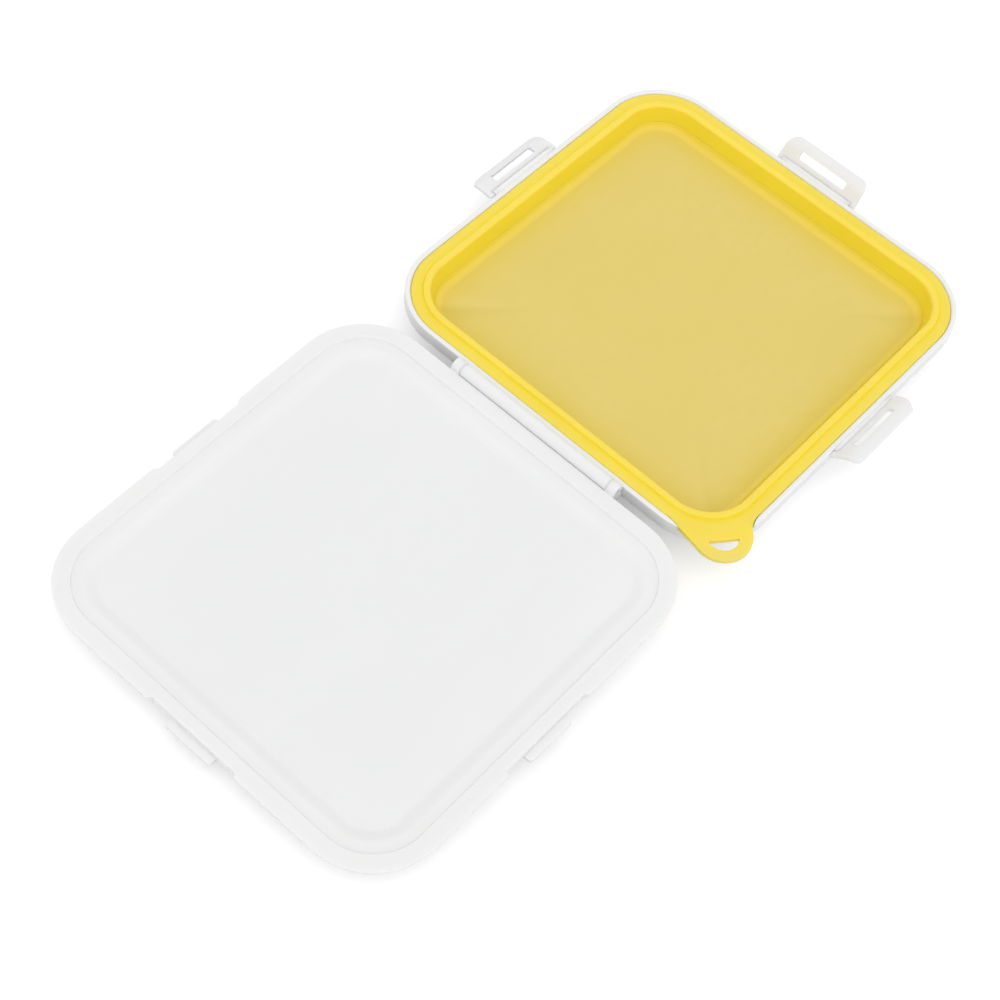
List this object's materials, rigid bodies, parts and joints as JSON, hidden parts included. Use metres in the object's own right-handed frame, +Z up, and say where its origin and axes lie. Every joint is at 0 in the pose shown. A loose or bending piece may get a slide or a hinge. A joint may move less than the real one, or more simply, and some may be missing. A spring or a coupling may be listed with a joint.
{
  "type": "wet palette",
  "caption": "Shallow square paint palette box with a hinged lid, slotted side latches and a lift-out silicone tray holding a sponge and palette paper.",
  "frame": {"origin": "centre of the flat underside of the base", "axes": "+Z up, +Y towards the hinge and the open lid, +X to the right seen from the front latch"},
  "size_m": [0.171, 0.3164, 0.0225],
  "materials": {
    "white_plastic": "satin moulded",
    "yellow_silicone": "satin",
    "sponge": "fine open pores",
    "palette_paper": "translucent matte",
    "pin_steel": "drawn wire"
  },
  "bodies": {
    "base": {"base_shell": "white_plastic", "hinge_pin": "pin_steel"},
    "lid": {"lid_shell": "white_plastic"},
    "front_latch": {"front_latch": "white_plastic"},
    "left_latch": {"left_latch": "white_plastic"},
    "right_latch": {"right_latch": "white_plastic"},
    "liner": {"liner_tray": "yellow_silicone"},
    "sponge": {"sponge": "sponge"},
    "paper": {"palette_paper": "palette_paper"}
  },
  "joints": [
    {"name": "lid_hinge", "type": "hinge", "parent": "base", "child": "lid", "pos_m": [0, 0.0777, 0.016], "axis": [1, 0, 0], "range_deg": [0, 181.6]},
    {"name": "front_latch_pivot", "type": "hinge", "parent": "base", "child": "front_latch", "pos_m": [0, -0.076, 0.0154], "axis": [-1, 0, 0], "range_deg": [-135, 35]},
    {"name": "left_latch_pivot", "type": "hinge", "parent": "base", "child": "left_latch", "pos_m": [-0.076, -0.0015, 0.0154], "axis": [0, 1, 0], "range_deg": [-115, 55]},
    {"name": "right_latch_pivot", "type": "hinge", "parent": "base", "child": "right_latch", "pos_m": [0.076, -0.0015, 0.0154], "axis": [0, -1, 0], "range_deg": [-78, 92]},
    {"name": "liner_lift", "type": "slide", "parent": "base", "child": "liner", "axis": [0, 0, -1], "range_m": [-0.03, 0]},
    {"name": "sponge_lift", "type": "slide", "parent": "liner", "child": "sponge", "axis": [0, 0, -1], "range_m": [-0.03, 0]},
    {"name": "paper_lift", "type": "slide", "parent": "sponge", "child": "paper", "axis": [0, 0, -1], "range_m": [-0.03, 0]}
  ]
}
